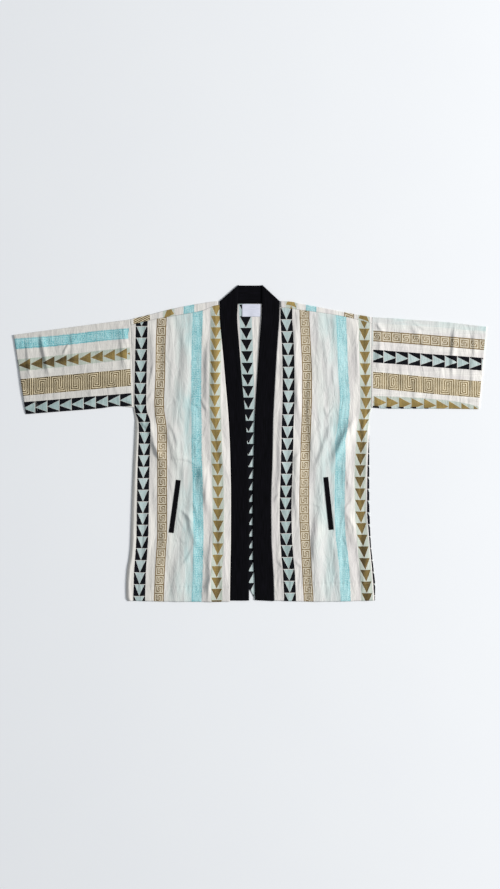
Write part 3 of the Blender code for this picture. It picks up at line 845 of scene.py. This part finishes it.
class Front:
    """One front: its two long edges and its surface."""

    def __init__(self, side):
        self.side = side
        self.away = -1.0 if side == "left" else 1.0

    def side_edge(self, y):
        """The x of the side seam at a height."""
        return curve(y, SIDES, self.side)

    def band_edge(self, y):
        """The x of the edge beside the neckband at a height: the band's own and a seam's gap."""
        return curve(y, OPENING, self.side + "_outer") + self.away * SEAM_GAP

    def across(self, share, y):
        """The x at a share of the way from the side seam, 0, to the neckband, 1."""
        return self.side_edge(y) + share * (self.band_edge(y) - self.side_edge(y))

    def height(self, x, y):
        """The middle of the wall above the table: resting on the back, lifted by its folds and at its seams.

        Within a few millimetres of each seam and of the hem the wall rolls down, as a turned edge does.
        """
        to_side = np.abs(self.side_edge(y) - x)
        to_band = np.abs(x - self.band_edge(y))
        to_seam = curve(x, SHOULDER, "seam") - y
        to_hem = y - curve(x, HEM, "front")
        free = smooth(to_side / EDGE_FADE) * smooth(to_band / EDGE_FADE) * smooth(to_seam / EDGE_FADE)
        free = free * (0.55 + 0.45 * smooth(to_hem / HEM_FADE))
        armhole = smooth((y - ARMPIT) / 24.0) * smooth(1.0 - to_side / 40.0)
        shoulder = smooth(1.0 - to_seam / 40.0)
        band = 0.35 * smooth(1.0 - to_band / 20.0)
        lift = (HIGH - RESTING) * np.maximum(np.maximum(armhole, shoulder), band)
        folds = placed_folds(x, y) + ripples(x, y) + 0.8
        z = RESTING + lift + free * np.where(folds < 0.0, 0.8 * np.tanh(folds / 0.8), folds)
        z = z - rolled(0.15 + 0.85 * (1.0 - armhole), to_side, 5.0)
        if self.side == "left":
            z = z + SEAM_ROLL * smooth((90.0 - y) / 50.0) * bell(to_side - 7.0, 4.5)
        z = z - rolled(0.1, to_seam, 3.0) - rolled(0.4, to_band, 3.0)
        to_line = to_hem - HEM_DEPTH[self.side]
        pucker = 0.4 * np.cos(2.0 * np.pi * x / 11.0 + 0.6 * np.sin(x / 23.0)) * bell(to_line, 9.0)
        z = z + free * (pucker - 0.9 * bell(to_line, 2.6))
        return z - rolled(0.6, to_hem, 4.0)


def build_front(side, material, sewing):
    """A front from side seam to neckband and from hem to shoulder seam, and its hem's stitches.

    Each point is at one share of the way between the long edges, and at another from the hem up to the seam.
    """
    front = Front(side)
    share, up = grid(128, 270)
    share = share if side == "left" else 1.0 - share

    def x_at(y):
        """The x of each column at a height."""
        return front.across(share, y)

    bottom = crossing(HEM, "front", x_at, HEM_NEAR)
    top = crossing(SHOULDER, "seam", x_at, SHOULDER_NEAR)
    y = bottom + up * (top - SEAM_GAP / 4 - bottom)
    x = front.across(share, y)
    lines = STRIPES[side]
    stripes = []
    for column, (base, repeat) in REPEATS[side].items():
        motif = EDGE_PRINT.get(column, column)
        onward = (base - y) * UNITS[motif] / repeat
        if column == SLIPPED[side]:
            onward = onward + curve(y, lines, "slip")
        stripes.append((motif, x - curve(y, lines, column), onward))
    z = front.height(x, y)
    piece = shell("front_" + side + "_cloth", x, y, z, x, y, stripes, SHELL, material)
    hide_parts("front_" + side)
    x = front.across(np.linspace(0.01, 0.99, 200), HEM_NEAR + HEM_DEPTH[side])
    y = curve(x, HEM, "front") + HEM_DEPTH[side]
    stitches("hem_" + side + "_stitches", x, y, front.height(x, y) + SHELL / 2, sewing)


# The printed stripes of the back. Only those in the opening and on the wrapped shoulder strips show
BACK_STRIPES = (
    ("wide_key", -292.0, 355.6, 49.0),
    ("gold", -219.0, 382.6, 31.0),
    ("aqua", -165.0, 380.0, 24.0),
    ("gold", 111.0, 396.8, 31.0),
    ("aqua", 165.0, 380.0, 24.0),
    ("narrow_key", 267.0, 360.0, 24.0),
    ("gold", 307.0, 359.6, 31.0),
)
BACK_OPENING = table(
    "height middle",
    (-424, -3.5),
    (10, -4.0),
    (119, -4.7),
    (173, -6.0),
    (227, -8.0),
    (281, -9.5),
    (380, -14.0),
)


def build_back(material):
    """The back lies on the table, and past the shoulder folds it wraps over to the shoulder seams.

    Its rows go up the panel, then round the fold's half circle, which lifts them by FOLD_RADIUS times
    (1 - cos(turn)), and then down the strip to the seam. The columns of the neck stop at the neckline.
    """
    side_columns, neck_columns = 90, 44
    panel_rows, fold_rows, strip_rows = 150, 10, 8
    columns = 2 * side_columns + neck_columns
    rows = panel_rows + fold_rows + strip_rows
    i, j = np.meshgrid(np.arange(columns + 1), np.arange(rows + 1))
    at_left, at_right = i <= side_columns, i >= side_columns + neck_columns
    share = np.where(at_left, i, columns - i) / side_columns
    neck = NECK_LEFT + (i - side_columns - 1) / (neck_columns - 2) * (NECK_RIGHT - NECK_LEFT)

    def x_at(y):
        """The x of each column at a height: in each side a share of the way from its edge to its neck corner."""
        x = neck
        for front, here in ((Front("left"), at_left), (Front("right"), at_right)):
            corner = front.band_edge(NECKLINE) + front.away * CORNER_GAP
            x = np.where(here, front.side_edge(y) + share * (corner - front.side_edge(y)), x)
        return x

    hem = crossing(HEM, "back", x_at, HEM_NEAR)
    fold = crossing(SHOULDER, "fold", x_at, SHOULDER_NEAR) - FOLD_RADIUS
    seam = crossing(SHOULDER, "seam", x_at, SHOULDER_NEAR) + SEAM_GAP / 4
    top = np.where(at_left | at_right, fold, NECKLINE - SEAM_GAP)
    turn = np.clip((j - panel_rows) / fold_rows, 0.0, 1.0) * np.pi
    past = np.clip((j - panel_rows - fold_rows) / strip_rows, 0.0, 1.0)
    y = hem + np.minimum(j / panel_rows, 1.0) * (top - hem) + FOLD_RADIUS * np.sin(turn)
    y = y + past * (seam - fold)
    x = x_at(y)
    z = LOW + FOLD_RADIUS * (1.0 - np.cos(turn))
    in_opening = smooth((x + 60.0) / 30.0) * smooth((66.0 - x) / 30.0) * (j <= panel_rows)
    z = z + in_opening * 0.22 * (1.0 + np.clip(ripples(x, y), -0.9, 0.9))
    z = z + smooth(past * 3.0) * 0.25 * ripples(x, y) - 0.1 * smooth(past * 4.0 - 3.0)
    along = np.where(j <= panel_rows, y, 2.0 * fold - y + np.pi * FOLD_RADIUS)
    stripes = [(name, x - middle, (base - along) * UNITS[name] / repeat)
               for name, middle, base, repeat in BACK_STRIPES]
    middle = curve(y, BACK_OPENING, "middle")
    stripes.append(("black_on_mint", x - middle, (346.0 - along) * TRIANGLE / 31.29))
    i, j = i[:-1, :-1], j[:-1, :-1]
    left_out = (i >= side_columns) & (i < side_columns + neck_columns) & (j >= panel_rows)
    piece = shell("back_cloth", x, y, z, x, along, stripes, SHELL, material, left_out)
    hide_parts("back")


# The printed stripes of the sleeves, which run along the arm: the height of their middles at several places
SLEEVE_STRIPES = {
    "left": table(
        "x aqua gold wide_key black_mint",
        (-634, 271.4, 212.5, 152.0, 95.6),
        (-540, 278.1, 221.9, 160.7, 103.1),
        (-472, 284.9, 229.0, 167.1, 108.8),
        (-405, 293.0, 237.1, 173.3, 114.5),
        (-324, 299.7, 245.7, 180.9, 121.2),
    ),
    "right": table(
        "x washed_aqua narrow_key black_mint wide_key gold edge",
        (329, 361.5, 293.0, 239.0, 174.2, 115.0, 92.5),
        (459, 353.0, 283.5, 229.0, 162.0, 108.6, 93.4),
        (500, 349.6, 279.8, 225.7, 158.0, 105.4, 86.0),
        (546, 345.9, 276.1, 222.5, 154.3, 100.6, 75.0),
        (590, 342.2, 272.4, 219.3, 150.8, 92.8, 66.0),
        (634, 338.5, 268.7, 216.0, 147.2, 80.0, 55.0),
    ),
}
SLEEVE_REPEATS = {
    "left": {"aqua": (-560.0, 24.0), "gold": (-592.6, 32.6), "wide_key": (-540.4, 49.0),
             "black_mint": (-580.5, 32.7)},
    "right": {"washed_aqua": (330.0, 24.0), "narrow_key": (329.4, 26.2), "black_mint": (328.0, 33.1),
              "wide_key": (363.0, 47.6), "gold": (334.8, 33.6), "edge": (349.6, 33.4)},
}
# The print stops short of the armhole seam, at a slightly slanted line: x at two heights. At the right cuff
# the last 3.5 mm are bare too
CUFF_PRINT_ENDS = {"left": 2.0, "right": 0.9925}
SLEEVE_PRINT_STARTS = {
    "left": table("y x", (100, -317.0), (300, -326.4)),
    "right": table("y x", (100, 330.4), (300, 330.4)),
}


def build_sleeve(side, material, sewing):
    """One piece folded along the top of the arm: its under layer, the fold's half circle and its upper layer.

    The cuff's hem is stitched through on both layers. The upper row of stitches shows.
    """
    under, turn, over, along = 40, 12, 100, 126
    sign = -1.0 if side == "left" else 1.0
    edges = SLEEVES[side]
    i, j = np.meshgrid(np.arange(under + turn + over + 1), np.arange(along + 1))
    station = j / along
    top_x, top_y, low_x, low_y = (curve(station, edges, column) for column in list(edges)[1:])
    top_y = top_y - FOLD_RADIUS
    share = np.where(i <= under, i / under, 1.0 - np.maximum(i - under - turn, 0) / over)
    x = low_x + share * (top_x - low_x)
    y = low_y + share * (top_y - low_y)
    seam = curve(y, SIDES, side) + sign * SEAM_GAP / 4
    start = x[:1]
    x = x + (seam - start) * (1.0 - smooth(station / 0.5))
    angle = np.clip((i - under) / turn, 0.0, 1.0) * np.pi
    z = LOW + FOLD_RADIUS * (1.0 - np.cos(angle))
    width = np.hypot(top_x - low_x, top_y - low_y)
    edge = smooth(share * width / 24.0)
    from_armhole, to_cuff = station * SLEEVE_LENGTH, (1.0 - station) * SLEEVE_LENGTH
    free = edge * smooth((1.0 - share) * width / EDGE_FADE) * smooth(from_armhole / EDGE_FADE)
    folds = placed_folds(x, y) + 0.4 * ripples(x * 0.9 + 30.0, y * 1.6)
    upper = RESTING + (HIGH - RESTING) * edge + free * folds
    upper = upper - rolled(0.15, from_armhole, 4.0) - rolled(0.6, share * width, 5.0)
    upper = upper - rolled(0.6, to_cuff, 4.0) - 0.5 * bell(to_cuff - CUFF_DEPTH, 2.4)
    z = np.where(i > under + turn, upper, z)
    y = y + FOLD_RADIUS * np.sin(angle)
    lines, stripes = SLEEVE_STRIPES[side], []
    for column, (base, repeat) in SLEEVE_REPEATS[side].items():
        motif = EDGE_PRINT.get(column, column)
        scale = UNITS[motif] / repeat
        stripes.append((motif, scale * (y - curve(x, lines, column)), sign * scale * (x - base)))
    start = SLEEVE_PRINT_STARTS[side]
    bare = (sign * (x - curve(y, start, "x")) < 0.0) | (station > CUFF_PRINT_ENDS[side])
    around = np.where(i <= under, -y, y)
    piece = shell("sleeve_" + side + "_cloth", x, y, z, around, x, stripes, SHELL, material,
                  bare=bare)
    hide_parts("sleeve_" + side)
    row = np.abs(to_cuff[:, 0] - CUFF_DEPTH).argmin(), slice(under + turn + 3, -3)
    stitches("cuff_" + side + "_stitches", x[row], y[row], z[row] + SHELL / 2, sewing)


def build_neckband(material):
    """A doubled strip: up a front edge, folded under on a slant at the shoulder, across the neck and down.

    Each row lies from the sewn edge to the free edge. The slanted folds turn it over by half a circle, and
    both long edges roll down, as a turned edge does.
    """
    front_rows, fold_rows, neck_rows, columns = 260, 12, 48, 18
    corners = {
        "left": (np.array([-81.6, 383.8]), np.array([-29.7, BAND_TOP])),
        "right": (np.array([79.4, 384.6]), np.array([31.9, BAND_TOP])),
    }

    def front_rows_of(side):
        """From the hem, 0, to the slanted fold, 1."""
        share = np.linspace(0.0, 1.0, front_rows + 1)[:, None]
        sewn_top, free_top = corners[side]
        y = BAND_FOOT + share * (NECKLINE - BAND_FOOT)
        hem = 0.0 if side == "left" else 3.0 * (1.0 - share)
        sewn = np.hstack([curve(y, OPENING, side + "_outer"), y - hem / 2])
        free = np.hstack([curve(y, OPENING, side + "_inner"), y + hem / 2])
        turned = smooth((share - 0.94) / 0.06)
        z = BAND_RESTING + (BAND_HIGH - BAND_RESTING) * smooth((share - 0.8) / 0.18)
        return np.hstack([sewn + turned * (sewn_top - sewn), free + turned * (free_top - free), z])

    def fold_rows_of(side):
        """From the upper layer, 0, round to the lower layer, 1."""
        turn = np.linspace(0.0, 1.0, fold_rows + 1)[:, None] * np.pi
        sewn_top, free_top = corners[side]
        slant = (free_top - sewn_top) / np.hypot(*(free_top - sewn_top))
        out = np.array([-abs(slant[1]), abs(slant[0])]) if side == "left" else np.abs(slant[::-1])
        push = out * BAND_FOLD_RADIUS * np.sin(turn)
        z = BAND_LOW + BAND_FOLD_RADIUS * (1.0 + np.cos(turn))
        return np.hstack([sewn_top + push, free_top + push, z])

    share = np.linspace(0.0, 1.0, neck_rows + 1)[:, None]
    bend = 1.0 - smooth(np.minimum(share, 1.0 - share) / 0.34)
    (sewn_left, free_left), (sewn_right, free_right) = corners["left"], corners["right"]
    sewn = sewn_left + share * (sewn_right - sewn_left)
    sewn[:, 1:] = NECKLINE + bend * (np.where(share < 0.5, sewn_left[1], sewn_right[1]) - NECKLINE)
    free = free_left + share * (free_right - free_left)
    neck_lines = np.hstack([sewn, free, np.full_like(share, BAND_LOW)])
    lines = np.vstack([
        front_rows_of("left")[:-1], fold_rows_of("left")[:-1], neck_lines,
        fold_rows_of("right")[::-1][1:], front_rows_of("right")[::-1][1:],
    ])
    across = np.linspace(0.0, 1.0, columns + 1)[None, :]
    x = lines[:, :1] + across * (lines[:, 2:3] - lines[:, :1])
    y = lines[:, 1:2] + across * (lines[:, 3:4] - lines[:, 1:2])
    middle = (lines[:, :2] + lines[:, 2:4]) / 2
    length = np.concatenate([[0.0], np.cumsum(np.hypot(*np.diff(middle, axis=0).T))])[:, None]
    from_edge = np.minimum(across, 1.0 - across) * BAND_WIDTH
    width, along = np.broadcast_arrays(across * BAND_WIDTH, length)
    z = lines[:, 4:] - rolled(0.45, from_edge, 4.0)
    z = z + 0.35 * smooth(from_edge / 10.0) * (lines[:, 4:] > BAND_LOW + 0.2) * ripples(width, along)
    piece = shell("neckband_cloth", x, y, z, width, along, (), BAND_SHELL, material)
    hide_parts("neckband")


# The welts' upper and lower ends
WELTS = {
    "left": ((-193.1, -96.0), (-212.5, -238.0)),
    "right": ((204.5, -88.0), (219.4, -230.0)),
}


def build_welt(side, material, sewing):
    """A slanted pocket welt on the front's own surface, rolled down along its edges and stitched round."""
    front = Front(side)
    top, foot = np.array(WELTS[side])
    slant = (top - foot) / np.hypot(*(top - foot))

    def surface(across, up):
        """The middle of the wall at a share of the way across and up the welt."""
        aside = (across - 0.5) * WELT_WIDTH
        x = foot[0] + up * (top - foot)[0] + aside * slant[1]
        y = foot[1] + up * (top - foot)[1] - aside * slant[0]
        edge = np.minimum(across, 1.0 - across) * WELT_WIDTH
        edge = np.minimum(edge, np.minimum(up, 1.0 - up) * WELT_LENGTH)
        lift = 0.9 + 0.7 * smooth(edge / 2.5) - 0.25 * bell(edge - 2.0, 0.7)
        return x, y, front.height(x, y) + lift

    across, up = grid(14, 90)
    x, y, z = surface(across, up)
    across, up = across * WELT_WIDTH, up * WELT_LENGTH
    piece = shell("welt_" + side + "_cloth", x, y, z, across, up, (), SHELL, material)
    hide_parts("welt_" + side)
    inset = 2.0 / np.array([WELT_WIDTH, WELT_LENGTH])
    way = np.linspace(0.0, 4.0, 800)
    x, y, z = surface(*[np.interp(way, range(5), np.where(turns, 1.0 - part, part))
                        for part, turns in zip(inset, np.array([(0, 1, 1, 0, 0), (0, 0, 1, 1, 0)], bool))])
    stitches("welt_" + side + "_stitches", x, y, z + SHELL / 2, sewing)


def build_label(material):
    """The bare label under the back of the neckband, lying on the back's inside.

    A slow wave raises its foot, by 0.5 mm times (1 - up) squared times (1 + cos(9 across)).
    """
    across, up = grid(40, 28)
    x = LABEL_MIDDLE + (across - 0.5) * LABEL_WIDTH
    y = NECKLINE - 1.0 - (1.0 - up) * LABEL_HEIGHT
    rim = np.minimum(np.minimum(across, 1.0 - across) * LABEL_WIDTH, up * LABEL_HEIGHT)
    z = 1.75 + 0.5 * (1.0 - up) ** 2 * (1.0 + np.cos(across * 9.0)) - rolled(0.3, rim, 2.0)
    piece = shell("label_cloth", x, y, z, x, y, (), LABEL_SHELL, material)
    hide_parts("label")


def build_floor(material):
    """The plain pale surface that the jacket lies on."""
    half, level = 6.0, -0.0002
    corners = [(-half, -half, level), (half, -half, level), (half, half, level), (-half, half, level)]
    mesh = bpy.data.meshes.new("floor")
    mesh.from_pydata(corners, [], [(0, 1, 2, 3)])
    mesh.materials.append(material)
    put("floor", mesh)


def light_the_table():
    """A tall window to the right gives soft shadows towards the left, and pale walls fill them."""
    window = bpy.data.lights.new("window", "AREA")
    window.shape = "RECTANGLE"
    window.size, window.size_y = 2.0, 3.0
    window.energy = 1450.0
    window.color = (1.0, 0.985, 0.965)
    holder = put("window", window)
    holder.location = (9.0, 1.2, 5.5)
    holder.rotation_mode = "QUATERNION"
    holder.rotation_quaternion = (-holder.location).to_track_quat("-Z", "Y")
    world = bpy.data.worlds.new("pale_room")
    bpy.context.scene.world = world
    world.use_nodes = True
    walls = world.node_tree.nodes["Background"]
    walls.inputs["Color"].default_value = hex_colour("#EAEFF5")
    walls.inputs["Strength"].default_value = 0.46


def place_camera():
    """Straight above the middle of the photograph, whose longer side covers 889 pixels."""
    distance, seen = 3.6, 889 * PIXEL * MM
    camera = bpy.data.cameras.new("camera")
    camera.sensor_width = 36.0
    camera.lens = camera.sensor_width * distance / seen
    holder = put("camera", camera)
    holder.location = (0.0, 0.0, distance)
    bpy.context.scene.camera = holder


printed = printed_cotton()
black = dyed_cotton()
pale_thread = thread("ivory_spun_polyester_thread", "#BDB9B2", "#DDD9D2")
dark_thread = thread("black_spun_polyester_thread", "#09090C", "#1B1A20")
build_back(printed)
for side in ("left", "right"):
    build_front(side, printed, pale_thread)
for side in ("left", "right"):
    build_sleeve(side, printed, pale_thread)
build_neckband(black)
for side in ("left", "right"):
    build_welt(side, black, dark_thread)
build_label(label_satin())
build_floor(floor_paint())
light_the_table()
place_camera()
bpy.context.scene.view_settings.view_transform = "Standard"
